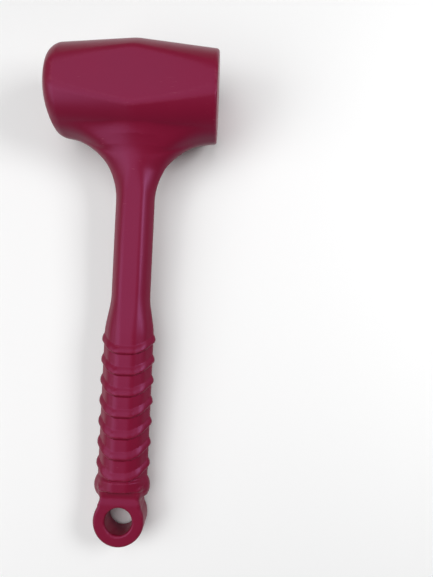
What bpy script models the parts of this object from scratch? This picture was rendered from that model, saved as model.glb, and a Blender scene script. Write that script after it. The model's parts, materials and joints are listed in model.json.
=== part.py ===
"""A one-piece moulded dead-blow mallet with its steel core, at real size in metres.

The mallet is first modelled in its own plan: the head lies along X (flat striking face at +X,
domed face at -X), the handle runs down -Y, and the flats of the head face +Z and -Z. An empty
then lays the whole mallet on its back, as it rests on a bench, with the origin under the middle
of its box.

What is inside follows how such a mallet is made. A steel canister with two pressed-in end caps
holds loose steel balls. A collar, welded to the canister, carries the steel handle rod on a
spring pin. One urethane jacket is cast round all of it.
"""
import math
from collections import namedtuple

import bmesh
import bpy
from mathutils import Vector

MM = 0.001
GAP = 0.3 * MM                  # running gap between pieces that seat on each other

# Head, measured from its middle, where the two cones meet in a crest
CREST_RADIUS = 35.5 * MM
END_RADIUS = 31.0 * MM
FACE_REACH = 55.4 * MM          # crest to the flat striking face
DOME_REACH = 58.2 * MM          # crest to the end of the rounded corner at the domed face
DOME_RADIUS = 56.0 * MM         # radius of the domed face
FACE_EDGE = 2.0 * MM            # rounding of the flat face's edge
DOME_EDGE = 4.5 * MM            # rounding of the domed face's edge
FACET_HALF = 30.0 * MM          # head axis to each of the two flats

# Neck and shaft, where s is the distance down the handle from the head's axis
SHAFT_WIDTH = 13.5 * MM         # half widths and half depths
SHAFT_DEPTH = 9.2 * MM
NECK_END = 76.0 * MM            # s where the neck has run out into the shaft
NECK_SIDE_FILLET = 44.5 * MM    # radius of the sweep from the shaft to the head's ends
NECK_FRONT_FILLET = 20.0 * MM   # radius of the sweep from the shaft to the head's front
NECK_SWEEP = math.radians(84)   # how far the side sweep turns before it meets the head
NECK_RINGS = 9
NECK_ROOT = 24.0 * MM           # s of the loft's first ring, buried in the head
NECK_ROOT_DEPTH = 15.0 * MM     # half depth of that ring
NECK_ROOT_NARROWING = 0.85      # its width as a share of the widest ring's
NECK_FRONT_SHARE = 0.9          # share of the front fillet that the sweep follows

# Grip
GRIP_WIDTH = 17.1 * MM
GRIP_DEPTH = 11.2 * MM
GRIP_SWELL = 28.0 * MM          # length over which the shaft swells into the grip
SWELL_RINGS = 6
RIB_FIRST = 172.7 * MM          # s of the first rib at the grip's sides
RIB_PITCH = 14.3 * MM
RIB_COUNT = 7
RIB_LEAD = 3.9 * MM             # length of a rib's gentle side, towards the head
RIB_DROP = 2.3 * MM             # length of its steep side
RIB_HEIGHT = 1.4 * MM
RIB_SAG = 7.8 * MM              # how far a rib runs down the handle from the side to the middle
CROWN_SHARE = 0.13              # share of that sag which comes from the middle of the flat panel

# Flange under the grip
FLANGE_SAG = 2.6 * MM
FLANGE_LAND = 1.5 * MM          # plain band between the last rib and the flange
FLANGE_LENGTH = 13.9 * MM
FLANGE_HEIGHT = 2.1 * MM
FLANGE_FRONT = 1.4 * MM         # how far the flange stands proud at front and back

# Hanging eye
EYE_DROP = 22.3 * MM            # flange to eye centre
EYE_RADIUS = 17.5 * MM
EYE_HALF = 8.8 * MM             # half the eye's thickness
EYE_EDGE = 2.0 * MM
BORE_RADIUS = 9.3 * MM
BORE_EDGE = 1.5 * MM            # rounding of the bore's two mouths
STEM_WIDTH = 13.3 * MM          # half width between flange and eye
STEM_FILLET = 20.0 * MM         # radius that widens the stem into the eye
LOFT_END_WIDTH = 11.5 * MM      # the loft's last ring, buried in the stem
LOFT_END_DEPTH = 6.5 * MM

# Steel core
JACKET_WALL = 5.0 * MM          # urethane left over the canister
FACE_WALL = 12.0 * MM           # urethane between the canister and each striking face
DOME_WALL = 13.0 * MM
CANISTER_WALL = 2.5 * MM
CAP_FLANGE = 2.5 * MM
CAP_SPIGOT = 5.0 * MM
CAP_CHAMFER = 1.0 * MM
ROD_RADIUS = 4.5 * MM
ROD_CHAMFER = 1.0 * MM
ROD_GROOVES = 3                 # turned grooves that key the urethane to the rod's tail
GROOVE_DEPTH = 0.8 * MM
GROOVE_LENGTH = 5.0 * MM
GROOVE_PITCH = 12.0 * MM
COLLAR_LENGTH = 17.0 * MM       # from the canister down the rod
COLLAR_WALL = 2.7 * MM          # at the collar's lower end
COLLAR_FLARE = 4.5 * MM         # how much wider the collar is at the canister
COLLAR_EARS = 2.5 * MM          # how far its coped end reaches up round the canister
PIN_RADIUS = 1.75 * MM
PIN_WALL = 0.5 * MM
PIN_DROP = 8.5 * MM             # canister to the spring pin
TAIL_WALL = 14.0 * MM           # urethane between the rod's tail and the eye's bore
LOCATOR_RADIUS = 2.0 * MM       # hole left by the mould's locating pin, from the bore to the rod
OVERSHOOT = 2.0 * MM            # how far a cutter runs past what it cuts

# Shot
BALL_RADIUS = 5.0 * MM
BALLS_PER_ROW = 6

# Fineness of round shapes
HEAD_STEPS = 56
CORE_STEPS = 40
ROD_STEPS = 20
ARC_POINTS = 4
EYE_POINTS = 28
FILLET_POINTS = 5

# Derived places
DOME_CORNER = math.acos((END_RADIUS - DOME_EDGE) / (DOME_RADIUS - DOME_EDGE))
DOME_CENTRE = (DOME_RADIUS - DOME_EDGE) * math.sin(DOME_CORNER) - (DOME_REACH - DOME_EDGE)
DOME_TIP = DOME_CENTRE - DOME_RADIUS
RIB_LAST = RIB_FIRST + RIB_PITCH * (RIB_COUNT - 1)
FLANGE_START = RIB_LAST + RIB_DROP + RIB_SAG - FLANGE_SAG + FLANGE_LAND
FLANGE_CREST = FLANGE_START + FLANGE_LENGTH / 2
EYE_CENTRE = FLANGE_CREST + EYE_DROP
CANISTER_RADIUS = min(END_RADIUS, FACET_HALF) - JACKET_WALL
CANISTER_BORE = CANISTER_RADIUS - CANISTER_WALL
CANISTER_FACE = FACE_REACH - FACE_WALL
CANISTER_DOME = DOME_TIP + DOME_WALL
ROD_TOP = CANISTER_RADIUS + GAP
ROD_TAIL = EYE_CENTRE - BORE_RADIUS - TAIL_WALL
COLLAR_END = CANISTER_RADIUS + COLLAR_LENGTH
COLLAR_BORE = ROD_RADIUS + GAP
COLLAR_RADIUS = COLLAR_BORE + COLLAR_WALL
SHOT_FACE = CANISTER_FACE - CAP_FLANGE - CAP_SPIGOT
SHOT_DOME = CANISTER_DOME + CAP_FLANGE + CAP_SPIGOT
SHOT_MIDDLE = (SHOT_FACE + SHOT_DOME) / 2

# One ring of the handle's loft: its place, half width, half depth, how far its front and back
# run ahead of its sides down the handle, the share of that which follows the section's width
# and not its depth, and how far its section has turned into a plain oval
Ring = namedtuple("Ring", "s width depth sag crown oval", defaults=(0.0, CROWN_SHARE, 0.0))

# A quarter of the handle's section, as shares of its half width and half depth: a blunt side,
# a slanted side, a bevel and a narrow flat panel
SECTION_QUARTER = (
    (1.0, 0.0),
    (0.97, 0.13),
    (0.79, 0.52),
    (0.68, 0.67),
    (0.40, 0.94),
    (0.28, 1.0),
)

# A rib's rings as (place, rise), where -1 is the end of its gentle side, 1 the end of its steep side
RIB_SHAPE = ((-1.0, 0.0), (-0.55, 0.68), (-0.05, 1.0), (0.5, 0.8), (1.0, 0.0))

# The flange's rings as (share of its length, share of its height, share of its sag)
FLANGE_SHAPE = ((0.0, 0.0, 1.0), (0.22, 0.45, 0.6), (0.42, 0.95, 0.3), (0.56, 0.95, 0.0), (0.72, 0.4, -0.6))
FLANGE_END_SAG = -0.6

# The handle's turned axis is local Z: a quarter turn about Y lays it along X, one about X along Y
ALONG_X = (0.0, math.pi / 2, 0.0)
ALONG_Y = (-math.pi / 2, 0.0, 0.0)


def collection(name):
    made = bpy.data.collections.new(name)
    bpy.context.scene.collection.children.link(made)
    return made


def clear_scene():
    for old in list(bpy.data.objects):
        bpy.data.objects.remove(old, do_unlink=True)


def material(name, colour, roughness, metallic=0.0):
    made = bpy.data.materials.new(name)
    made.use_nodes = True
    shader = made.node_tree.nodes["Principled BSDF"]
    shader.inputs["Base Color"].default_value = (*colour, 1.0)
    shader.inputs["Roughness"].default_value = roughness
    shader.inputs["Metallic"].default_value = metallic
    made.diffuse_color = (*colour, 1.0)
    return made


def add_object(name, mesh, group, parent, surface=None):
    made = bpy.data.objects.new(name, mesh)
    group.objects.link(made)
    made.parent = parent
    if surface:
        mesh.materials.append(surface)
    return made


def make_tool(tool):
    """A helper shape that is cut from or joined to a piece and isn't a piece itself."""
    tool.hide_render = True
    tool.display_type = "WIRE"
    return tool


def combine(piece, tool, operation):
    step = piece.modifiers.new(tool.name, "BOOLEAN")
    step.object = tool
    step.operation = operation
    step.solver = "EXACT"


def turn(name, profile, steps, closed, group, parent, surface=None, rotation=ALONG_X):
    """Turn a profile of (radius, height) points about local Z.

    The points run down the outer side, top to bottom. A closed profile is a ring's section, an
    open one begins and ends on the axis.
    """
    mesh = bpy.data.meshes.new(name)
    edges = [(i, i + 1) for i in range(len(profile) - 1)]
    if closed:
        edges.append((len(profile) - 1, 0))
    mesh.from_pydata([(radius, 0.0, height) for radius, height in profile], edges, [])
    made = add_object(name, mesh, group, parent, surface)
    made.rotation_euler = rotation
    spin = made.modifiers.new("turn", "SCREW")
    spin.axis = "Z"
    spin.steps = steps
    spin.render_steps = steps
    spin.use_merge_vertices = True
    spin.merge_threshold = 0.00001
    spin.use_smooth_shade = True
    return made


def block(name, low, high, group, parent):
    """A box from its lowest to its highest corner."""
    shape = bmesh.new()
    bmesh.ops.create_cube(shape, size=1.0)
    for vert in shape.verts:
        for axis in range(3):
            vert.co[axis] = high[axis] if vert.co[axis] > 0 else low[axis]
    mesh = bpy.data.meshes.new(name)
    shape.to_mesh(mesh)
    shape.free()
    return make_tool(add_object(name, mesh, group, parent))


def arc(centre, radius, start, end, count):
    """Points on an arc in (radius, height), with angles from the radial direction upwards."""
    points = []
    for i in range(count):
        angle = start + (end - start) * i / (count - 1)
        points.append((centre[0] + radius * math.cos(angle), centre[1] + radius * math.sin(angle)))
    return points


def head_profile():
    flat_corner = (END_RADIUS - FACE_EDGE, FACE_REACH - FACE_EDGE)
    dome_corner = (END_RADIUS - DOME_EDGE, -(DOME_REACH - DOME_EDGE))
    points = [(0.0, FACE_REACH)]
    points += arc(flat_corner, FACE_EDGE, math.pi / 2, 0.0, ARC_POINTS)
    points.append((CREST_RADIUS, 0.0))
    points += arc(dome_corner, DOME_EDGE, 0.0, -DOME_CORNER, ARC_POINTS)
    points += arc((0.0, DOME_CENTRE), DOME_RADIUS, -DOME_CORNER, -math.pi / 2, ARC_POINTS + 2)[1:-1]
    points.append((0.0, DOME_TIP))
    return points


def handle_section():
    """The handle's whole section, once round, from its quarter."""
    quarter = SECTION_QUARTER
    half = list(quarter) + [(-x, z) for x, z in reversed(quarter)]
    return half + [(-x, -z) for x, z in half[1:-1]]


def ring_points(ring, section):
    """A ring's points in the mallet's plan.

    A ring with a sag isn't flat: it runs down the handle from the sides to the front and back,
    so that a rib looks like an arc from the front and like a chevron from the side.
    """
    points = []
    for i, (across, through) in enumerate(section):
        angle = 2 * math.pi * i / len(section)
        across += (math.cos(angle) - across) * ring.oval
        through += (math.sin(angle) - through) * ring.oval
        bow = (1.0 - ring.crown) * abs(through) + ring.crown * (1.0 - across * across)
        points.append((ring.width * across, -(ring.s + ring.sag * bow), ring.depth * through))
    return points


def ease(value, start, length):
    """0 before start, 1 after start + length, and an S-curve between."""
    t = min(max((value - start) / length, 0.0), 1.0)
    return t * t * (3.0 - 2.0 * t)


def shaft_size(s):
    """Half width and half depth of the shaft and the plain grip at s."""
    swell = ease(s, RIB_FIRST - GRIP_SWELL - RIB_LEAD, GRIP_SWELL)
    width = SHAFT_WIDTH + (GRIP_WIDTH - SHAFT_WIDTH) * swell
    depth = SHAFT_DEPTH + (GRIP_DEPTH - SHAFT_DEPTH) * swell
    return width, depth


def neck_depth(s):
    """Half depth of the neck: an arc tangent to the shaft's front and to the head's crest circle."""
    centre_z = SHAFT_DEPTH + NECK_FRONT_FILLET
    centre_s = math.sqrt((CREST_RADIUS + NECK_FRONT_FILLET) ** 2 - centre_z ** 2)
    reach = min(max(centre_s - s, 0.0), NECK_FRONT_FILLET * NECK_FRONT_SHARE)
    return centre_z - math.sqrt(NECK_FRONT_FILLET ** 2 - reach ** 2)


def neck_rings():
    """Rings of the neck, from inside the head to the shaft."""
    widest = SHAFT_WIDTH + NECK_SIDE_FILLET * (1 - math.cos(NECK_SWEEP))
    rings = [Ring(NECK_ROOT, widest * NECK_ROOT_NARROWING, NECK_ROOT_DEPTH, oval=1.0)]
    for i in range(NECK_RINGS):
        angle = NECK_SWEEP * (1 - i / (NECK_RINGS - 1))
        s = NECK_END - NECK_SIDE_FILLET * math.sin(angle)
        width = SHAFT_WIDTH + NECK_SIDE_FILLET * (1 - math.cos(angle))
        oval = 1.0 - ease(s, NECK_END - NECK_SIDE_FILLET, NECK_SIDE_FILLET)
        rings.append(Ring(s, width, neck_depth(s), oval=oval))
    return rings


def swell_rings():
    """Rings of the shaft's swell, where the rings begin to bow down the handle."""
    start = RIB_FIRST - GRIP_SWELL - RIB_LEAD
    rings = []
    for i in range(SWELL_RINGS):
        s = start + GRIP_SWELL * i / SWELL_RINGS
        width, depth = shaft_size(s)
        rings.append(Ring(s, width, depth, RIB_SAG * ease(s, start, GRIP_SWELL)))
    return rings


def rib_rings():
    rings = []
    for i in range(RIB_COUNT):
        middle = RIB_FIRST + RIB_PITCH * i
        for place, rise in RIB_SHAPE:
            length = RIB_LEAD if place < 0.0 else RIB_DROP
            proud = RIB_HEIGHT * rise
            rings.append(Ring(middle + place * length, GRIP_WIDTH + proud, GRIP_DEPTH + proud, RIB_SAG))
    return rings


def flange_rings():
    """Rings of the flange, down to where the loft ends inside the eye's stem."""
    rings = []
    for place, rise, sag in FLANGE_SHAPE:
        width = GRIP_WIDTH + FLANGE_HEIGHT * rise
        depth = GRIP_DEPTH + FLANGE_FRONT * (1.0 if rise > 0 else 0.0)
        rings.append(Ring(FLANGE_START + FLANGE_LENGTH * place, width, depth, FLANGE_SAG * sag, 1.0))
    end = FLANGE_START + FLANGE_LENGTH
    rings.append(Ring(end, LOFT_END_WIDTH, LOFT_END_DEPTH, FLANGE_SAG * FLANGE_END_SAG, 1.0))
    return rings


def loft_handle(group, parent):
    """The neck, shaft, grip and flange as one loft of like-numbered rings."""
    section = handle_section()
    shape = bmesh.new()
    loops = []
    for ring in neck_rings() + swell_rings() + rib_rings() + flange_rings():
        loops.append([shape.verts.new(point) for point in ring_points(ring, section)])
    count = len(section)
    for upper, lower in zip(loops, loops[1:]):
        for i in range(count):
            j = (i + 1) % count
            shape.faces.new((upper[i], upper[j], lower[j], lower[i]))
    shape.faces.new(list(reversed(loops[0])))
    shape.faces.new(loops[-1])
    bmesh.ops.recalc_face_normals(shape, faces=shape.faces)
    mesh = bpy.data.meshes.new("handle_form")
    shape.to_mesh(mesh)
    shape.free()
    return make_tool(add_object("handle_form", mesh, group, parent))


def eye_outline():
    """Outline of the eye and its stem: a ring's arc, and on each side a fillet to the stem."""
    fillet_x = STEM_WIDTH + STEM_FILLET
    fillet_rise = math.sqrt((EYE_RADIUS + STEM_FILLET) ** 2 - fillet_x ** 2)
    meet = math.atan2(fillet_rise, fillet_x)
    side = arc((0.0, -EYE_CENTRE), EYE_RADIUS, -math.pi / 2, meet, EYE_POINTS // 2)
    fillet = arc((fillet_x, -EYE_CENTRE + fillet_rise), STEM_FILLET, math.pi + meet, math.pi, FILLET_POINTS)
    half = side + fillet[1:] + [(STEM_WIDTH, -FLANGE_CREST)]
    return half + [(-x, y) for x, y in reversed(half[1:])]


def eye_tools(group, parent):
    """The eye with its stem, which is joined to the handle, and its bore, which is cut."""
    shape = bmesh.new()
    outline = [shape.verts.new((x, y, -EYE_HALF)) for x, y in eye_outline()]
    under = shape.faces.new(outline)
    upper = bmesh.ops.extrude_face_region(shape, geom=[under])["geom"]
    lifted = [item for item in upper if isinstance(item, bmesh.types.BMVert)]
    bmesh.ops.translate(shape, verts=lifted, vec=(0.0, 0.0, 2 * EYE_HALF))
    bmesh.ops.recalc_face_normals(shape, faces=shape.faces)
    mesh = bpy.data.meshes.new("eye_form")
    shape.to_mesh(mesh)
    shape.free()
    form = make_tool(add_object("eye_form", mesh, group, parent))
    rounding = form.modifiers.new("rounding", "BEVEL")
    rounding.width = EYE_EDGE
    rounding.segments = ARC_POINTS - 1
    rounding.limit_method = "ANGLE"
    rounding.angle_limit = math.radians(60)
    mouth = arc((BORE_RADIUS + BORE_EDGE, EYE_HALF - BORE_EDGE), BORE_EDGE, math.pi / 2, math.pi, ARC_POINTS)
    over = EYE_HALF + OVERSHOOT
    bore = [(0.0, over), (BORE_RADIUS + BORE_EDGE, over)] + mouth
    bore += [(radius, -height) for radius, height in reversed(bore)]
    cut = make_tool(turn("bore_cut", bore, CORE_STEPS, False, group, parent, rotation=(0.0, 0.0, 0.0)))
    cut.location = (0.0, -EYE_CENTRE, 0.0)
    return form, cut


def rod_profile(grow):
    """The rod's outline, grown by grow for the cavity that is cast round it."""
    radius = ROD_RADIUS + grow
    groove = radius - GROOVE_DEPTH
    top = -ROD_TOP + grow
    tail = -ROD_TAIL - grow
    points = [(0.0, top), (radius - ROD_CHAMFER, top), (radius, top - ROD_CHAMFER)]
    for i in reversed(range(ROD_GROOVES)):
        middle = -(ROD_TAIL - GROOVE_PITCH * (i + 1))
        half = GROOVE_LENGTH / 2 - grow
        points += [(radius, middle + half), (groove, middle + half - GROOVE_DEPTH)]
        points += [(groove, middle - half + GROOVE_DEPTH), (radius, middle - half)]
    points += [(radius, tail + ROD_CHAMFER), (radius - ROD_CHAMFER, tail), (0.0, tail)]
    return points


def collar_profile(grow):
    """The collar's outer side from inside the canister's circle to its lower end."""
    root = COLLAR_RADIUS + COLLAR_FLARE + grow
    return [(root, -CANISTER_RADIUS + COLLAR_EARS), (root, -CANISTER_RADIUS - 2 * GAP),
            (COLLAR_RADIUS + grow, -COLLAR_END - grow)]


def cavity_tools(group, parent):
    """What the jacket leaves free: canister, collar, rod and the hole of the locating pin."""
    radius = CANISTER_RADIUS + GAP
    high = CANISTER_FACE + GAP
    low = CANISTER_DOME - GAP
    drum = turn("canister_room", [(0.0, high), (radius, high), (radius, low), (0.0, low)],
                CORE_STEPS, False, group, parent)
    side = collar_profile(GAP)
    collar = turn("collar_room", [(0.0, side[0][1])] + side + [(0.0, side[-1][1])],
                  ROD_STEPS, False, group, parent, rotation=ALONG_Y)
    rod = turn("rod_room", rod_profile(GAP), ROD_STEPS, False, group, parent, rotation=ALONG_Y)
    start = -ROD_TAIL + ROD_CHAMFER
    end = -EYE_CENTRE
    locator = turn("locator_hole", [(0.0, start), (LOCATOR_RADIUS, start), (LOCATOR_RADIUS, end), (0.0, end)],
                   ROD_STEPS, False, group, parent, rotation=ALONG_Y)
    return [make_tool(tool) for tool in (drum, collar, rod, locator)]


def build_jacket(pieces, tools, parent, surface):
    jacket = turn("jacket", head_profile(), HEAD_STEPS, False, pieces, parent, surface)
    far = CREST_RADIUS * 2
    wide = FACE_REACH + DOME_REACH
    # The jacket's own turn lays its local Z along X, so the boxes are given in the mallet's plan
    for name, side in (("front_flat", 1), ("back_flat", -1)):
        edges = sorted((side * FACET_HALF, side * far))
        flat = block(name, (-wide, -far, edges[0]), (wide, far, edges[1]), tools, parent)
        combine(jacket, flat, "DIFFERENCE")
    combine(jacket, loft_handle(tools, parent), "UNION")
    eye, bore = eye_tools(tools, parent)
    combine(jacket, eye, "UNION")
    combine(jacket, bore, "DIFFERENCE")
    for tool in cavity_tools(tools, parent):
        combine(jacket, tool, "DIFFERENCE")
    return jacket


def build_canister(pieces, parent, surface):
    high = CANISTER_FACE - CAP_FLANGE - GAP
    low = CANISTER_DOME + CAP_FLANGE + GAP
    ring = [(CANISTER_RADIUS, high), (CANISTER_RADIUS, low), (CANISTER_BORE, low), (CANISTER_BORE, high)]
    turn("canister_tube", ring, CORE_STEPS, True, pieces, parent, surface)


def build_cap(name, outer, inward, pieces, parent, surface):
    """An end cap: a flange on the tube's end and a spigot in its bore."""
    spigot = CANISTER_BORE - GAP
    seat = outer + inward * CAP_FLANGE
    inner = seat + inward * CAP_SPIGOT
    points = [(0.0, outer), (CANISTER_RADIUS, outer), (CANISTER_RADIUS, seat), (spigot, seat),
              (spigot, inner - inward * CAP_CHAMFER), (spigot - CAP_CHAMFER, inner), (0.0, inner)]
    if inward > 0:
        points.reverse()
    turn(name, points, CORE_STEPS, False, pieces, parent, surface)


def pin_hole(tools, parent):
    radius = PIN_RADIUS + GAP
    reach = COLLAR_RADIUS + COLLAR_FLARE + OVERSHOOT
    hole = turn("pin_hole", [(0.0, reach), (radius, reach), (radius, -reach), (0.0, -reach)],
                ROD_STEPS, False, tools, parent)
    hole.location = (0.0, -CANISTER_RADIUS - PIN_DROP, 0.0)
    return make_tool(hole)


def build_rod(pieces, parent, surface, hole):
    rod = turn("handle_rod", rod_profile(0.0), ROD_STEPS, False, pieces, parent, surface, ALONG_Y)
    combine(rod, hole, "DIFFERENCE")


def build_collar(pieces, tools, parent, surface, hole):
    """The collar: coped to the canister's round side, bored for the rod, drilled for the pin."""
    side = collar_profile(0.0)
    ring = side + [(COLLAR_BORE, side[-1][1]), (COLLAR_BORE, side[0][1])]
    collar = turn("rod_collar", ring, ROD_STEPS, True, pieces, parent, surface, ALONG_Y)
    reach = COLLAR_RADIUS + COLLAR_FLARE + OVERSHOOT
    radius = CANISTER_RADIUS + GAP
    cope = turn("collar_cope", [(0.0, reach), (radius, reach), (radius, -reach), (0.0, -reach)],
                CORE_STEPS, False, tools, parent)
    combine(collar, make_tool(cope), "DIFFERENCE")
    combine(collar, hole, "DIFFERENCE")


def collar_radius_at(drop):
    """The collar's outer radius at a distance down from the canister."""
    share = drop / COLLAR_LENGTH
    return COLLAR_RADIUS + COLLAR_FLARE * (1.0 - share)


def build_pin(pieces, tools, parent, surface):
    """A spring pin: a rolled tube with a slot along it."""
    reach = collar_radius_at(PIN_DROP + PIN_RADIUS) - GAP
    bore = PIN_RADIUS - PIN_WALL
    ring = [(PIN_RADIUS, reach), (PIN_RADIUS, -reach), (bore, -reach), (bore, reach)]
    pin = turn("spring_pin", ring, ROD_STEPS, True, pieces, parent, surface)
    pin.location = (0.0, -CANISTER_RADIUS - PIN_DROP, 0.0)
    middle = pin.location.y
    half = PIN_WALL / 2
    slot = block("pin_slot", (-2 * reach, middle - half, 0.0), (2 * reach, middle + half, 2 * PIN_RADIUS),
                 tools, parent)
    combine(pin, slot, "DIFFERENCE")


def ball_places():
    """Middles of the balls, bedded in the canister's lower side as rows along the head.

    Neighbours in a row touch. Each row on the wall is half a ball ahead of the next one, and one
    more row lies in the dip along the bottom.
    """
    pitch = 2 * BALL_RADIUS + GAP
    bed = CANISTER_BORE - BALL_RADIUS - GAP
    apart = 2 * math.asin(pitch * math.sqrt(3) / 4 / bed)
    places = []
    for row in (-2, -1, 0, 1, 2):
        count = BALLS_PER_ROW - row % 2
        for i in range(count):
            x = SHOT_MIDDLE + pitch * (i - (count - 1) / 2)
            places.append((x, bed * math.sin(apart * row), -bed * math.cos(apart * row)))
    raised = -bed + pitch * math.sqrt(3) / 2
    for i in range(BALLS_PER_ROW - 1):
        x = SHOT_MIDDLE + pitch * (i - (BALLS_PER_ROW - 2) / 2)
        places.append((x, 0.0, raised))
    return places


def build_shot(pieces, parent, surface):
    """The balls, on an empty that lies on the axis along which they surge."""
    carrier = bpy.data.objects.new("shot_axis", None)
    pieces.objects.link(carrier)
    carrier.parent = parent
    carrier.location = (SHOT_MIDDLE, 0.0, 0.0)
    shape = bmesh.new()
    bmesh.ops.create_icosphere(shape, subdivisions=2, radius=BALL_RADIUS)
    mesh = bpy.data.meshes.new("ball")
    shape.to_mesh(mesh)
    shape.free()
    mesh.shade_smooth()
    mesh.materials.append(surface)
    for number, place in enumerate(ball_places(), start=1):
        ball = bpy.data.objects.new(f"shot_ball_{number:02d}", mesh)
        pieces.objects.link(ball)
        ball.parent = carrier
        ball.location = Vector(place) - carrier.location


def lay_down(root, jacket):
    """Lay the mallet on its back and put the origin under the middle of its box.

    The head is the thicker end and its middle of mass lies outside the flat, so the mallet tips
    until the handle's end rests too. It then stands on the near tip of the back flat, at the
    crest, and on the lowest point of the handle.
    """
    tip = math.sqrt(max(CREST_RADIUS ** 2 - FACET_HALF ** 2, 0.0))
    view = bpy.context.evaluated_depsgraph_get()
    mesh = bpy.data.meshes.new_from_object(jacket.evaluated_get(view))
    places = [jacket.matrix_world @ vert.co for vert in mesh.vertices]
    bpy.data.meshes.remove(mesh)
    handle = [place for place in places if place.y < -NECK_END]
    tilt = min(math.atan2(place.z + FACET_HALF, -tip - place.y) for place in handle)
    root.rotation_euler = (tilt, 0.0, 0.0)
    turned = [root.rotation_euler.to_matrix() @ place for place in places]
    low = [min(place[axis] for place in turned) for axis in range(3)]
    high = [max(place[axis] for place in turned) for axis in range(3)]
    root.location = (-(low[0] + high[0]) / 2, -(low[1] + high[1]) / 2, -low[2])


def build():
    clear_scene()
    pieces = collection("mallet")
    tools = collection("cutters")
    root = bpy.data.objects.new("lying", None)
    pieces.objects.link(root)
    urethane = material("urethane", (0.21, 0.022, 0.065), 0.42)
    steel = material("steel", (0.42, 0.42, 0.43), 0.38, 1.0)
    spring = material("spring_steel", (0.12, 0.12, 0.13), 0.45, 1.0)
    polished = material("polished_steel", (0.62, 0.62, 0.63), 0.14, 1.0)

    jacket = build_jacket(pieces, tools, root, urethane)
    build_canister(pieces, root, steel)
    build_cap("face_end_cap", CANISTER_FACE, -1, pieces, root, steel)
    build_cap("dome_end_cap", CANISTER_DOME, 1, pieces, root, steel)
    hole = pin_hole(tools, root)
    build_collar(pieces, tools, root, steel, hole)
    build_rod(pieces, root, steel, hole)
    build_pin(pieces, tools, root, spring)
    build_shot(pieces, root, polished)
    bpy.context.view_layer.update()
    lay_down(root, jacket)
    bpy.context.view_layer.update()


build()
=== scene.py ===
"""Looks of the moulded dead-blow mallet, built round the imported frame.

The jacket that shows is one casting, so its skin is made as one smooth surface: a field that is
negative inside the urethane is written down from the mallet's sizes, and a net of faces is laid
over the place where it is zero. All pieces inside keep their CAD meshes and get steel finishes.

Lengths in the field are millimetres in the mallet's own plan: the head lies along X with the
flat striking face at +X, the handle runs down -Y, and the head's flats face +Z and -Z. Along the
handle, s is the distance from the head's axis. Widths and depths are half ones.
"""
import json
import math

import bpy
import numpy as np
from mathutils import Matrix, Vector

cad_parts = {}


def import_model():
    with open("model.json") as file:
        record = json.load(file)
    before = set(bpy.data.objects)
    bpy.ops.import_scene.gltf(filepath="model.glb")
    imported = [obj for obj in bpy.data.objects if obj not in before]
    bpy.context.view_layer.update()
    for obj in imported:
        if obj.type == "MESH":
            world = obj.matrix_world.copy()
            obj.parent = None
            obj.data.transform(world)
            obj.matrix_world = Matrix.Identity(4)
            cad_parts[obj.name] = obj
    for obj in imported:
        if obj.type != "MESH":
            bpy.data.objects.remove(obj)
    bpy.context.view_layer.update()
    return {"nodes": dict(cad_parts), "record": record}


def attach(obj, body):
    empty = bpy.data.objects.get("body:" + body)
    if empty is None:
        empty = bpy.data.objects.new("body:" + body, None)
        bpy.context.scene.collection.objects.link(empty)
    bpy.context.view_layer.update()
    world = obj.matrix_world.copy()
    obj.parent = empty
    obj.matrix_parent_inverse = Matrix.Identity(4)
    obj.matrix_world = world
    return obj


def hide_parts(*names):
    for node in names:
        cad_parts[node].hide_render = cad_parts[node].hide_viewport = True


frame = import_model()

MM = 0.001

# Head: two cones that meet in a crest, cut flat at front and back
CREST_RADIUS = 35.5
END_RADIUS = 31.0
FACE_REACH = 55.4               # from the crest to the flat striking face
DOME_REACH = 58.2               # from the crest to the end of the domed face's rounded corner
DOME_RADIUS = 56.0
FACE_EDGE = 2.0
DOME_EDGE = 4.5
FACET_HALF = 30.0
FACET_EDGE = 1.2
CREST_BLEND = 0.6

# Shaft, and the sweep from it to the head's ends
SHAFT_WIDTH = 13.5
SHAFT_DEPTH = 9.2
NECK_END = 76.0
NECK_SIDE_FILLET = 44.5

# Handle's section: a flat panel, a bevel to the shoulder, then a steeper side
PANEL_SHAFT = 7.4               # from the side in to the edge of the flat panel
PANEL_GRIP = 11.7
SHOULDER_SHAFT = 3.3            # from the side in to the shoulder
SHOULDER_GRIP = 5.0
SHOULDER_UP = 0.69              # shoulder's height, as a share of the depth
SIDE_PROUD = 0.9                # how far out the sides' planes would meet
SIDE_BLUNT = 0.35               # how far out the side's blunt edge is before it is rounded
SECTION_ROUNDING = 1.2

# Neck: the section turns into an oval that grows fuller towards the head, with a low ridge
NECK_FLARE = 0.58               # how fast the oval widens, against the outline's sweep
NECK_KEEP = 0.8                 # part of that widening by which the panel's edge stays behind it
NECK_ROUNDING = 3.5
NECK_FADE = 40.0                # s where the oval begins to turn into the flattened section
NECK_FADE_LENGTH = 40.0
NECK_FULLNESS = 2.7             # power of the oval, where 2 is an ellipse
HEAD_FULLNESS = 7.5             # the same by the head
HEAD_FULL_FROM = 36.0           # s up to which it holds, and the length over which it is left
HEAD_FULL_LENGTH = 20.0
RIDGE_HEIGHT = 5.0
RIDGE_FROM = 34.0               # s up to which the ridge is full, and over which it sinks away
RIDGE_LENGTH = 36.0
RIDGE_WIDTH = 14.0              # at the shaft, and the part of the flare by which it widens
RIDGE_FLARE = 0.15
NECK_FILLET = 27.0              # largest fillet between neck and head
FILLET_LEAST = 0.1              # part of it where the two run alike
FILLET_MOST = 0.8               # part of it where they meet at a right angle

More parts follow.
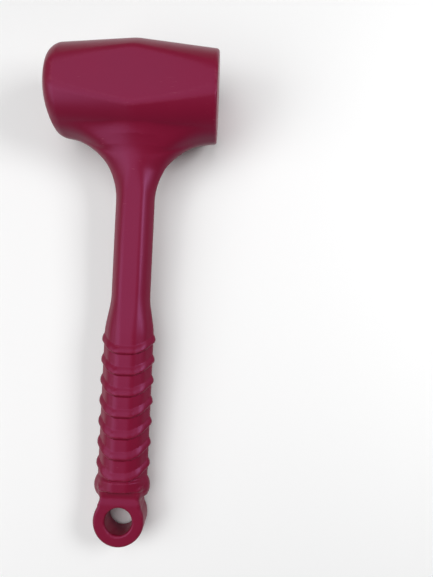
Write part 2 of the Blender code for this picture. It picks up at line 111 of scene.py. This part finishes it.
# Grip
GRIP_WIDTH = 17.1
GRIP_DEPTH = 11.2
GRIP_SWELL = 28.0               # length over which the shaft swells into the grip
RIB_FIRST = 173.3               # s of the first rib at the grip's sides
RIB_PITCH = 14.3
RIB_COUNT = 7
RIB_HALF = 3.0                  # room kept before the first rib and after the last
RIB_LEAD = 4.3                  # length of a rib's gentle side, towards the head
RIB_DROP = 1.8                  # length of its steep side
RIB_HEIGHT = 1.4
RIB_POWER = 1.2                 # above 1, the rib runs out more softly at its foot
RIB_SAG = 7.8                   # how far a rib runs down the handle from the side to the middle
RIB_CROWN = 1.0                 # part of the sag that comes from the panel's middle

# Flange: a round bead at the sides and a flat band at front and back
FLANGE_SAG = 2.6
FLANGE_LAND = 0.2
FLANGE_LENGTH = 13.9
FLANGE_HEIGHT = 2.1
FLANGE_FRONT = 1.4              # how far the band stands proud
FLANGE_TOP = 267.5              # s where the band begins and ends
FLANGE_FOOT = 276.4
FLANGE_TOP_RISE = 2.0           # lengths over which it rises and falls
FLANGE_FOOT_FALL = 1.5
BAND_FROM = 0.2                 # share of the depth from which the bead turns into the band
BAND_TURN = 0.7                 # and over which
FOOT_FROM = 0.3                 # the same for the flange's foot
FOOT_TURN = 0.6
FOOT_EDGE = 1.0

# Eye
EYE_DROP = 22.3                 # from the flange to the eye's centre
EYE_RADIUS = 17.5
EYE_HALF = 8.8
EYE_EDGE = 2.0
BORE_RADIUS = 9.3
BORE_EDGE = 1.5
STEM_WIDTH = 13.3
STEM_DEPTH = 8.2
STEM_END = 12.0                 # from the stem's end, inside the ring, to the eye's centre
STEM_FILLET = 4.0               # in plan, from the stem to the eye
STEM_LAND = 3.0                 # from the flange's foot to where the stem thickens to the eye
STEM_RISE = 7.0                 # length over which it does
FLANGE_FILLET = 3.0             # from the flange's foot to the stem
EYE_NEAR = 10.0                 # how far before the flange the eye is looked at

# Derived places
DOME_CORNER = math.acos((END_RADIUS - DOME_EDGE) / (DOME_RADIUS - DOME_EDGE))
DOME_END = DOME_REACH - DOME_EDGE + DOME_EDGE * math.sin(DOME_CORNER)
DOME_CENTRE = -DOME_END + DOME_RADIUS * math.sin(DOME_CORNER)
SWELL_START = RIB_FIRST - GRIP_SWELL - RIB_HALF
RIB_LAST = RIB_FIRST + RIB_PITCH * (RIB_COUNT - 1)
FLANGE_START = RIB_LAST + RIB_HALF + RIB_SAG - FLANGE_SAG + FLANGE_LAND
FLANGE_CREST = FLANGE_START + FLANGE_LENGTH / 2
EYE_CENTRE = FLANGE_CREST + EYE_DROP

# The net: its cells, its corners, and the box round the handle below the neck
CELL = 0.8
NET_LOW = np.array((-67.6, -316.4, -32.4))
NET_HIGH = np.array((57.6, 37.6, 32.4))
HANDLE_ROOM_X = 22.0
HANDLE_ROOM_Z = 16.0
BOX_LAP = 2.0                   # how far the handle's box and the head's run into each other
FAR = 9.0                       # field value where nothing is near
SETTLE_ROUNDS = 4
SETTLE_STEP = 0.5               # longest move in a round, in cells
TINY = 1e-9

# Steps over which the field's slope is measured, and the least slope that is taken as one
FIELD_STEP = 0.2
FIELD_SLOPE = 0.5
NORMAL_STEP = 0.05
NORMAL_SLOPE = 0.05             # squared

# Edges that are rubbed: how far off the bend is measured, and where wear begins and is full
EDGE_REACH = 0.7
EDGE_LEAST = 0.22
EDGE_MOST = 0.8


def ease(value, start, length):
    """From 0 at start to 1 a length further on, without a kink."""
    t = np.clip((value - start) / length, 0.0, 1.0)
    return t * t * (3.0 - 2.0 * t)


def mix(first, second, share):
    return first + (second - first) * share


def soft_max(a, b, width):
    """The larger of two fields, with the edge between them blended over width."""
    h = np.maximum(width - np.abs(a - b), 0.0) / width
    return np.maximum(a, b) + h * h * width / 4


def round_both(a, b, radius):
    """What lies in both fields, with a rounded edge of that radius."""
    u = np.maximum(a + radius, 0.0)
    v = np.maximum(b + radius, 0.0)
    return np.minimum(np.maximum(a + radius, b + radius), 0.0) + np.hypot(u, v) - radius


def round_either(a, b, radius):
    """What lies in either field, with a fillet of that radius between them."""
    return -round_both(-a, -b, radius)


def barrel_field(x, y, z):
    """The head's two cones, without their ends."""
    r = np.hypot(y, z)
    cones = []
    for side, reach in ((1, FACE_REACH - FACE_EDGE), (-1, DOME_REACH - DOME_EDGE)):
        slope = (CREST_RADIUS - END_RADIUS) / reach
        cones.append((r - CREST_RADIUS + slope * side * x) / math.hypot(1.0, slope))
    return soft_max(cones[0], cones[1], CREST_BLEND)


def grip_swell(s):
    """From 0 on the shaft to 1 on the grip."""
    return ease(s, SWELL_START, GRIP_SWELL)


def neck_flare(s):
    """About how far the neck's outline has left the shaft's."""
    return NECK_FLARE * np.maximum(NECK_END - s, 0.0) ** 2 / NECK_SIDE_FILLET


def side_distance(x, s):
    """Distance out from the handle's outline as seen from the front."""
    beside = np.abs(x) - SHAFT_WIDTH - NECK_SIDE_FILLET
    sweep = np.hypot(beside, np.minimum(s - NECK_END, 0.0))
    return NECK_SIDE_FILLET - sweep - (GRIP_WIDTH - SHAFT_WIDTH) * grip_swell(s)


def handle_depth(x, s, swell, flare):
    """Half depth of shaft and grip, with the neck's ridge."""
    ridge = np.exp(-(x / (RIDGE_WIDTH + RIDGE_FLARE * flare)) ** 2)
    lift = RIDGE_HEIGHT * ridge * (1.0 - ease(s, RIDGE_FROM, RIDGE_LENGTH))
    return mix(SHAFT_DEPTH, GRIP_DEPTH, swell) + lift


def section_field(out, z, depth, panel, shoulder_in, rounding):
    """Distance to the handle's flattened section, from the distance out of its outline."""
    shoulder = (-shoulder_in, SHOULDER_UP * depth)
    field = z - depth
    for start, end in (((-panel, depth), shoulder), (shoulder, (SIDE_PROUD, 0.0))):
        across = start[1] - end[1]
        up = end[0] - start[0]
        edge = (across * (out - start[0]) + up * (z - start[1])) / np.hypot(across, up)
        field = soft_max(field, edge, rounding)
    return soft_max(field, out - SIDE_BLUNT, SECTION_ROUNDING)


def oval_field(out, z, depth, half, fullness):
    """Distance to a full oval section, half that wide."""
    across = np.maximum(1.0 + out / half, 0.0)
    round_out = np.sqrt(across ** fullness + (z / depth) ** 2)
    return (round_out - 1.0) * depth


def rib_rise(s):
    """Height of the ribs along the handle: gentle towards the head, steep towards the eye."""
    turn = np.clip(np.round((s - RIB_FIRST) / RIB_PITCH), 0, RIB_COUNT - 1)
    place = s - RIB_FIRST - turn * RIB_PITCH
    t = np.clip(np.where(place < 0.0, place / RIB_LEAD, place / RIB_DROP), -1.0, 1.0)
    return RIB_HEIGHT * (1.0 - t * t) ** RIB_POWER


def flange_rise(s, up):
    """Height of the flange, where up is the height as a share of the depth."""
    t = np.clip((s - FLANGE_CREST) / (FLANGE_LENGTH / 2), -1.0, 1.0)
    bead = FLANGE_HEIGHT * (1.0 - t * t)
    rise = ease(s, FLANGE_TOP, FLANGE_TOP_RISE)
    fall = ease(s, FLANGE_FOOT - FLANGE_FOOT_FALL, FLANGE_FOOT_FALL)
    band = FLANGE_FRONT * rise * (1.0 - fall)
    return mix(bead, band, ease(up, BAND_FROM, BAND_TURN))


def handle_field(x, y, z):
    """Neck, shaft, grip and flange, down to the flange's foot."""
    s = -y
    swell = grip_swell(s)
    flare = neck_flare(s)
    depth = handle_depth(x, s, swell, flare)
    panel = mix(PANEL_SHAFT, PANEL_GRIP, swell) + NECK_KEEP * flare
    shoulder_in = mix(SHOULDER_SHAFT, SHOULDER_GRIP, swell) + NECK_KEEP * flare
    up = np.minimum(np.abs(z) / depth, 1.0)
    middle = 1.0 - np.minimum((x / GRIP_WIDTH) ** 2, 1.0)
    sag = (RIB_SAG - RIB_CROWN) * up + RIB_CROWN * middle
    rise = np.maximum(rib_rise(s - sag), flange_rise(s, up))
    out = side_distance(x, s)
    z = np.abs(z)
    faceted = ease(s, NECK_FADE, NECK_FADE_LENGTH)
    rounding = mix(NECK_ROUNDING, SECTION_ROUNDING, faceted)
    section = section_field(out, z, depth, panel, shoulder_in, rounding)
    fullness = mix(HEAD_FULLNESS, NECK_FULLNESS, ease(s, HEAD_FULL_FROM, HEAD_FULL_LENGTH))
    oval = oval_field(out, z, depth, SHAFT_WIDTH + flare, fullness)
    field = oval * (1.0 - faceted) + section * faceted - rise
    foot = FLANGE_CREST + FLANGE_LENGTH / 2
    foot -= (foot - FLANGE_FOOT) * ease(up, FOOT_FROM, FOOT_TURN)
    return np.maximum(round_both(field, s - foot, FOOT_EDGE), y)


def with_slope(field, x, y, z):
    """A field divided by its slope, so that it reads as a distance, and its direction."""
    value = field(x, y, z)
    ahead = (field(x + FIELD_STEP, y, z), field(x, y + FIELD_STEP, z), field(x, y, z + FIELD_STEP))
    slope = [(further - value) / FIELD_STEP for further in ahead]
    size = np.maximum(np.sqrt(slope[0] ** 2 + slope[1] ** 2 + slope[2] ** 2), FIELD_SLOPE)
    return value / size, [part / size for part in slope]


def eye_field(x, y, z):
    """The stem and the hanging eye, without its bore."""
    s = -y
    ring = np.hypot(x, s - EYE_CENTRE) - EYE_RADIUS
    ends = np.maximum(FLANGE_CREST - s, s - EYE_CENTRE + STEM_END)
    strip = np.maximum(np.abs(x) - STEM_WIDTH, ends)
    outline = round_either(ring, strip, STEM_FILLET)
    depth = mix(STEM_DEPTH, EYE_HALF, ease(s, FLANGE_FOOT + STEM_LAND, STEM_RISE))
    return round_both(outline, np.abs(z) - depth, EYE_EDGE)


def jacket_field(x, y, z):
    """Negative inside the urethane skin, taken as solid inside."""
    head = barrel_field(x, y, z)
    head = round_both(head, np.abs(z) - FACET_HALF, FACET_EDGE)
    handle, slope = with_slope(handle_field, x, y, z)
    radius = np.maximum(np.hypot(y, z), 1.0)
    alike = (slope[1] * y + slope[2] * z) / radius
    fillet = NECK_FILLET * mix(FILLET_LEAST, FILLET_MOST, ease(1.0 - alike, 0.0, 1.0))
    body = round_either(head, handle, fillet)

    dome = np.hypot(x - DOME_CENTRE, np.minimum(radius, END_RADIUS)) - DOME_RADIUS
    dome = np.where(x < DOME_CENTRE, dome, -FAR)
    body = np.where(y > -NECK_END, round_both(body, x - FACE_REACH, FACE_EDGE), body)
    body = np.where(y > -NECK_END, round_both(body, dome, DOME_EDGE), body)

    low = y < EYE_NEAR - FLANGE_START
    if np.any(low):
        eye = np.full_like(body, FAR)
        eye[low] = eye_field(x[low], y[low], z[low])
        body = np.where(low, round_either(body, eye, FLANGE_FILLET), body)
        bore = BORE_RADIUS - np.hypot(x, -y - EYE_CENTRE)
        body = np.where(low, round_both(body, bore, BORE_EDGE), body)
    return body


def shifted(field, points, axis, step):
    """The field's value at points moved along one axis."""
    shift = np.zeros(3)
    shift[axis] = step
    return field(*(points + shift).T)


def gradient_of(field, points):
    """The field's gradient at points, as (n, 3)."""
    gradient = np.empty_like(points)
    for axis in range(3):
        ahead = shifted(field, points, axis, NORMAL_STEP)
        behind = shifted(field, points, axis, -NORMAL_STEP)
        gradient[:, axis] = (ahead - behind) / (2 * NORMAL_STEP)
    return gradient


def sample_grid(field):
    """Field values on a grid, worked out only in boxes that hold the head and the handle."""
    count = np.ceil((NET_HIGH - NET_LOW) / CELL).astype(int) + 1
    axes = [NET_LOW[i] + CELL * np.arange(count[i]) for i in range(3)]
    values = np.full(count, FAR)
    x_room, z_room, end = HANDLE_ROOM_X, HANDLE_ROOM_Z, math.inf
    head_box = ((-end, end), (-NECK_END - BOX_LAP, end), (-end, end))
    handle_box = ((-x_room, x_room), (-end, -NECK_END + BOX_LAP), (-z_room, z_room))
    for box in (head_box, handle_box):
        cut = []
        for axis, (low, high) in zip(axes, box):
            span = np.flatnonzero((axis >= low) & (axis <= high))
            cut.append(slice(span[0], span[-1] + 1))
        places = np.meshgrid(*(axis[part] for axis, part in zip(axes, cut)), indexing="ij")
        values[tuple(cut)] = field(*places)
    return values


def lay_net(field):
    """A net of four-sided faces where the field is zero, as points and faces.

    Every cell of the grid that the zero runs through gets one point, in the middle of the places
    where the cell's edges cross it. Every grid edge that crosses it gets a face, whose corners are
    the points of the four cells round that edge.
    """
    values = sample_grid(field)
    inside = values < 0
    cells = tuple(n - 1 for n in values.shape)
    total = np.zeros((math.prod(cells), 3))
    hits = np.zeros(math.prod(cells))
    crossings = []
    for axis in range(3):
        ahead = np.take(inside, range(1, values.shape[axis]), axis)
        behind = np.take(inside, range(values.shape[axis] - 1), axis)
        place = np.argwhere(ahead != behind)
        step = np.zeros(3, int)
        step[axis] = 1
        first = values[tuple(place.T)]
        second = values[tuple((place + step).T)]
        point = place.astype(float)
        point[:, axis] += first / (first - second)
        u, v = (i for i in range(3) if i != axis)
        corners = []
        for back_u, back_v in ((1, 1), (0, 1), (0, 0), (1, 0)):
            cell = place.copy()
            cell[:, u] -= back_u
            cell[:, v] -= back_v
            index = np.ravel_multi_index(cell.T, cells)
            for i in range(3):
                total[:, i] += np.bincount(index, point[:, i], hits.size)
            hits += np.bincount(index, minlength=hits.size)
            corners.append(index)
        corners = np.stack(corners, axis=1)
        flipped = (first > second) != (axis == 1)
        crossings.append(np.where(flipped[:, None], corners[:, ::-1], corners))
    used = np.flatnonzero(hits)
    number = np.full(hits.size, -1)
    number[used] = np.arange(used.size)
    points = NET_LOW + CELL * total[used] / hits[used, None]
    return points, number[np.concatenate(crossings)]


def settle_points(field, points):
    """Move the net's points onto the zero of the field, and return them with their normals."""
    for _ in range(SETTLE_ROUNDS):
        gradient = gradient_of(field, points)
        size = np.maximum((gradient ** 2).sum(1), NORMAL_SLOPE)
        step = gradient * (field(*points.T) / size)[:, None]
        length = np.maximum(np.sqrt((step ** 2).sum(1)), TINY)
        points = points - step * np.minimum(1.0, SETTLE_STEP * CELL / length)[:, None]
    gradient = gradient_of(field, points)
    return points, gradient / np.maximum(np.sqrt((gradient ** 2).sum(1)), TINY)[:, None]


def edge_share(field, points):
    """How sharply the skin turns outwards at each point, from 0 on a gentle curve to 1."""
    bend = -6.0 * field(*points.T)
    for axis in range(3):
        bend += shifted(field, points, axis, -EDGE_REACH) + shifted(field, points, axis, EDGE_REACH)
    return ease(bend / EDGE_REACH ** 2, EDGE_LEAST, EDGE_MOST - EDGE_LEAST)


def mount_place(name):
    """Place and axis of one of the record's mounts."""
    for mount in frame["record"]["mounts"]:
        if mount["name"] == name:
            return Vector(mount["pos_m"]), Vector(mount["axis"])
    raise ValueError(name)


def plan_matrix():
    """From the mallet's plan to where it lies, read from two of the record's faces."""
    face, along = mount_place("strike_face")
    up = mount_place("front_flat")[1]
    across = up.cross(along)
    matrix = Matrix((along, across, up)).transposed().to_4x4()
    matrix.translation = face - along * FACE_REACH * MM
    return matrix


PLAN = plan_matrix()


def build_skin():
    """The moulding's whole outside as one mesh, with its normals and how rubbed each point is."""
    points, faces = lay_net(jacket_field)
    points, normals = settle_points(jacket_field, points)
    turn = np.array(PLAN.to_3x3())
    placed = points * MM @ turn.T + np.array(PLAN.translation)
    mesh = bpy.data.meshes.new("moulded_skin")
    mesh.vertices.add(len(placed))
    mesh.vertices.foreach_set("co", placed.astype(np.float32).ravel())
    mesh.loops.add(faces.size)
    mesh.loops.foreach_set("vertex_index", faces.astype(np.int32).ravel())
    mesh.polygons.add(len(faces))
    mesh.polygons.foreach_set("loop_start", np.arange(0, faces.size, 4, dtype=np.int32))
    mesh.update(calc_edges=True)
    mesh.validate()
    mesh.shade_smooth()
    mesh.normals_split_custom_set_from_vertices((normals @ turn.T).tolist())
    edge = mesh.attributes.new("edge", "FLOAT", "POINT")
    edge.data.foreach_set("value", edge_share(jacket_field, points).astype(np.float32))
    skin = bpy.data.objects.new("moulded_skin", mesh)
    bpy.context.scene.collection.objects.link(skin)
    return skin


class Nodes:
    """Short hand for building a material's node tree."""

    def __init__(self, name):
        self.material = bpy.data.materials.new(name)
        self.material.use_nodes = True
        self.tree = self.material.node_tree
        self.shader = self.tree.nodes["Principled BSDF"]

    def feed(self, socket, value):
        """Link a node's output to a socket, or set the socket to a plain value."""
        if isinstance(value, bpy.types.NodeSocket):
            self.tree.links.new(value, socket)
        else:
            socket.default_value = value

    def add(self, kind, inputs, **settings):
        node = self.tree.nodes.new(kind)
        for key, value in settings.items():
            setattr(node, key, value)
        for key, value in inputs.items():
            self.feed(node.inputs[key], value)
        return node

    def shade(self, **inputs):
        """Feed the shader, whose inputs are named with _ for a space."""
        for name, value in inputs.items():
            self.feed(self.shader.inputs[name.replace("_", " ")], value)

    def place(self):
        return self.add("ShaderNodeTexCoord", {}).outputs["Object"]

    def noise(self, place, scale, detail, roughness=0.5):
        inputs = {"Vector": place, "Scale": scale, "Detail": detail, "Roughness": roughness}
        return self.add("ShaderNodeTexNoise", inputs).outputs["Fac"]

    def maths(self, operation, a, b):
        return self.add("ShaderNodeMath", {0: a, 1: b}, operation=operation).outputs[0]

    def ramp(self, value, low, high):
        """From 0 to 1 between two values, eased."""
        inputs = {"Value": value, "From Min": low, "From Max": high}
        node = self.add("ShaderNodeMapRange", inputs, interpolation_type="SMOOTHSTEP")
        return node.outputs["Result"]

    def spread(self, share, low, high):
        """From low to high as the share runs from 0 to 1."""
        inputs = {"Value": share, "To Min": low, "To Max": high}
        return self.add("ShaderNodeMapRange", inputs).outputs["Result"]

    def blend(self, share, first, second):
        """A colour between two, each of them three values or a node's output."""
        node = self.add("ShaderNodeMix", {"Factor": share}, data_type="RGBA")
        for socket, colour in ((node.inputs[6], first), (node.inputs[7], second)):
            self.feed(socket, (*colour, 1) if isinstance(colour, tuple) else colour)
        return node.outputs[2]


# Urethane
DARK_RED = (0.172, 0.0036, 0.0200)
LIGHT_RED = (0.192, 0.0046, 0.0236)
RUBBED_RED = (0.36, 0.075, 0.12)
RUBBED_SHARE = 0.22             # how far a rubbed edge goes to that colour
RUBBED_ROUGHNESS = 0.08         # added on a rubbed edge
SCUFF_RED = (0.42, 0.11, 0.16)
SCUFF_SHARE = 0.4
SCUFF_DEPTH = 0.8               # against the grain's height
SCUFF_SCALE = (160.0, 1100.0, 500.0)
SCUFF_LAYS = ((0.6, 0.0), (-0.9, 3.7))      # turn of each set of strokes, and a shift apart
SPECULAR_TINT = (0.90, 0.42, 0.96, 1)


def scuff_share(nodes, place):
    """Short strokes where a stretched noise peaks, in scattered patches."""
    strokes = []
    for turn, shift in SCUFF_LAYS:
        lay = nodes.add("ShaderNodeMapping", {
            "Vector": place,
            "Location": (shift, shift, shift),
            "Rotation": (0, 0, turn),
            "Scale": SCUFF_SCALE,
        })
        strokes.append(nodes.ramp(nodes.noise(lay.outputs[0], 1.0, 1.0), 0.71, 0.79))
    where = nodes.ramp(nodes.noise(place, 55.0, 2.0), 0.56, 0.70)
    return nodes.maths("MULTIPLY", nodes.maths("MAXIMUM", *strokes), where)


def urethane():
    """Satin moulded urethane: slightly mottled, with a moulded grain, scuffs and rubbed edges."""
    nodes = Nodes("urethane")
    place = nodes.place()
    mottle = nodes.noise(place, 38.0, 4.0, 0.6)
    grain = nodes.noise(place, 1400.0, 2.0)
    scuffs = scuff_share(nodes, place)
    edge = nodes.add("ShaderNodeAttribute", {}, attribute_name="edge").outputs["Fac"]
    patchy = nodes.ramp(nodes.noise(place, 420.0, 3.0, 0.7), 0.38, 0.68)
    rubbed = nodes.maths("MULTIPLY", edge, patchy)

    colour = nodes.blend(mottle, DARK_RED, LIGHT_RED)
    colour = nodes.blend(nodes.maths("MULTIPLY", rubbed, RUBBED_SHARE), colour, RUBBED_RED)
    colour = nodes.blend(nodes.maths("MULTIPLY", scuffs, SCUFF_SHARE), colour, SCUFF_RED)
    rough = nodes.maths("MULTIPLY", rubbed, RUBBED_ROUGHNESS)
    rough = nodes.maths("ADD", nodes.spread(mottle, 0.33, 0.40), rough)
    height = nodes.maths("SUBTRACT", grain, nodes.maths("MULTIPLY", scuffs, SCUFF_DEPTH))
    bump = nodes.add("ShaderNodeBump", {"Strength": 0.12, "Distance": 0.0002, "Height": height})
    nodes.shade(Base_Color=colour, Roughness=rough, Normal=bump.outputs["Normal"],
                Specular_IOR_Level=0.35, Specular_Tint=SPECULAR_TINT)
    return nodes.material


def steel(name, colour, roughness, grain_scale):
    """Plain steel, with a fine grain in its colour and its roughness."""
    nodes = Nodes(name)
    grain = nodes.noise(nodes.place(), grain_scale, 5.0, 0.7)
    dark = tuple(part * 0.8 for part in colour)
    light = tuple(min(part * 1.15, 1.0) for part in colour)
    nodes.shade(Base_Color=nodes.blend(grain, dark, light), Metallic=1.0,
                Roughness=nodes.spread(grain, roughness * 0.8, roughness * 1.3))
    return nodes.material


def dress(pieces, surface):
    """Give the finish to CAD pieces that keep their meshes."""
    for name in pieces:
        mesh = frame["nodes"][name].data
        mesh.materials.clear()
        mesh.materials.append(surface)


def dress_core():
    """Steel finishes for all that lies inside the moulding."""
    canister = ("canister_tube", "face_end_cap", "dome_end_cap", "rod_collar")
    balls = [name for name in frame["nodes"] if name.startswith("shot_ball")]
    dress(canister, steel("canister_steel", (0.5, 0.5, 0.51), 0.4, 120))
    dress(("handle_rod",), steel("rod_steel", (0.45, 0.45, 0.47), 0.3, 200))
    dress(("spring_pin",), steel("spring_steel", (0.12, 0.12, 0.13), 0.45, 300))
    dress(balls, steel("shot_steel", (0.6, 0.6, 0.61), 0.15, 400))


def seen_rays(tree):
    """1 for rays that see or mirror what they meet, and 0 for those that only light the mallet."""
    ray = tree.nodes.new("ShaderNodeLightPath").outputs
    seen = ray["Is Camera Ray"]
    for kind in ("Is Glossy Ray", "Is Transmission Ray"):
        either = tree.nodes.new("ShaderNodeMath")
        either.operation = "MAXIMUM"
        tree.links.new(seen, either.inputs[0])
        tree.links.new(ray[kind], either.inputs[1])
        seen = either.outputs[0]
    return seen


def grey(value):
    return value, value, value


# Floor and world: how pale they are where seen or mirrored, and how much light they give back
FLOOR_SIZE = 2.6
FLOOR_DROP = 0.0002             # below the mallet, so that the two don't share a plane
FLOOR_SEEN = (0.93, 0.95)
FLOOR_LIT = 0.35
WORLD_SEEN = 0.42
WORLD_LIT = 0.05

# Soft boxes: compass angle (+X is 0) and height in degrees, distance and size in metres, and how
# bright each looks, where 1 is white paper in plain light
SOFT_BOXES = {
    "overhead": (150, 74, 1.7, (1.9, 1.6), 1.8),
    "left": (-164, 41, 0.9, (0.8, 0.55), 2.6),
    "right": (14, 40, 0.8, (0.38, 0.26), 9.3),
}


def floor():
    """A plain pale floor; only what is seen or mirrored is pale, so it throws little light up."""
    bpy.ops.mesh.primitive_plane_add(size=FLOOR_SIZE, location=(0, 0, -FLOOR_DROP))
    plane = bpy.context.object
    plane.name = "floor"
    nodes = Nodes("floor")
    tone = nodes.noise(nodes.place(), 3.0, 3.0)
    pale = nodes.blend(tone, grey(FLOOR_SEEN[0]), grey(FLOOR_SEEN[1]))
    colour = nodes.blend(seen_rays(nodes.tree), grey(FLOOR_LIT), pale)
    nodes.shade(Base_Color=colour, Roughness=0.9)
    plane.data.materials.append(nodes.material)


def world():
    """A world that is pale where it is seen or mirrored, and throws little light."""
    studio = bpy.data.worlds.new("studio")
    bpy.context.scene.world = studio
    studio.use_nodes = True
    tree = studio.node_tree
    strength = tree.nodes.new("ShaderNodeMix")
    strength.inputs[2].default_value = WORLD_LIT
    strength.inputs[3].default_value = WORLD_SEEN
    tree.links.new(seen_rays(tree), strength.inputs[0])
    background = tree.nodes["Background"]
    background.inputs["Color"].default_value = (1, 1, 1, 1)
    tree.links.new(strength.outputs[0], background.inputs["Strength"])


def soft_box(name, azimuth, height, distance, size, brightness):
    """A soft box that faces the mallet."""
    data = bpy.data.lights.new(name, "AREA")
    data.shape = "RECTANGLE"
    data.size, data.size_y = size
    data.energy = brightness * math.pi * size[0] * size[1]
    lamp = bpy.data.objects.new(name, data)
    bpy.context.scene.collection.objects.link(lamp)
    around, up = math.radians(azimuth), math.radians(height)
    flat = math.cos(up)
    away = Vector((math.cos(around) * flat, math.sin(around) * flat, math.sin(up)))
    lamp.location = away * distance
    lamp.rotation_euler = away.to_track_quat("Z", "Y").to_euler()


# Camera, fitted to the photograph's outline of the mallet: a place in the plan in millimetres,
# turns in degrees about the plan's Y, X and Z, and a focal length in pixels of the frame
CAMERA_PLACE = (61.77, -140.57, 302.59)
CAMERA_TURNS = (-0.33, -1.04, -2.48)
FOCAL_PIXELS = 429.6
FRAME_WIDTH = 433
SENSOR = 36.0


def camera():
    """A camera at the photograph's angle."""
    data = bpy.data.cameras.new("camera")
    data.sensor_fit = "HORIZONTAL"
    data.sensor_width = SENSOR
    data.lens = SENSOR * FOCAL_PIXELS / FRAME_WIDTH
    data.clip_start = 0.01
    data.clip_end = 20
    seat = bpy.data.objects.new("camera", data)
    bpy.context.scene.collection.objects.link(seat)
    turned = Matrix()
    for turn, axis in zip(CAMERA_TURNS, "YXZ"):
        turned = Matrix.Rotation(math.radians(turn), 4, axis) @ turned
    place = turned.inverted()
    place.translation = Vector(CAMERA_PLACE) * MM
    seat.matrix_world = PLAN @ place
    bpy.context.scene.camera = seat


camera()
skin = build_skin()
skin.data.materials.append(urethane())
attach(skin, "mallet")
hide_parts("jacket")
dress_core()
floor()
for name, settings in SOFT_BOXES.items():
    soft_box(name, *settings)
world()
bpy.context.scene.view_settings.view_transform = "Standard"
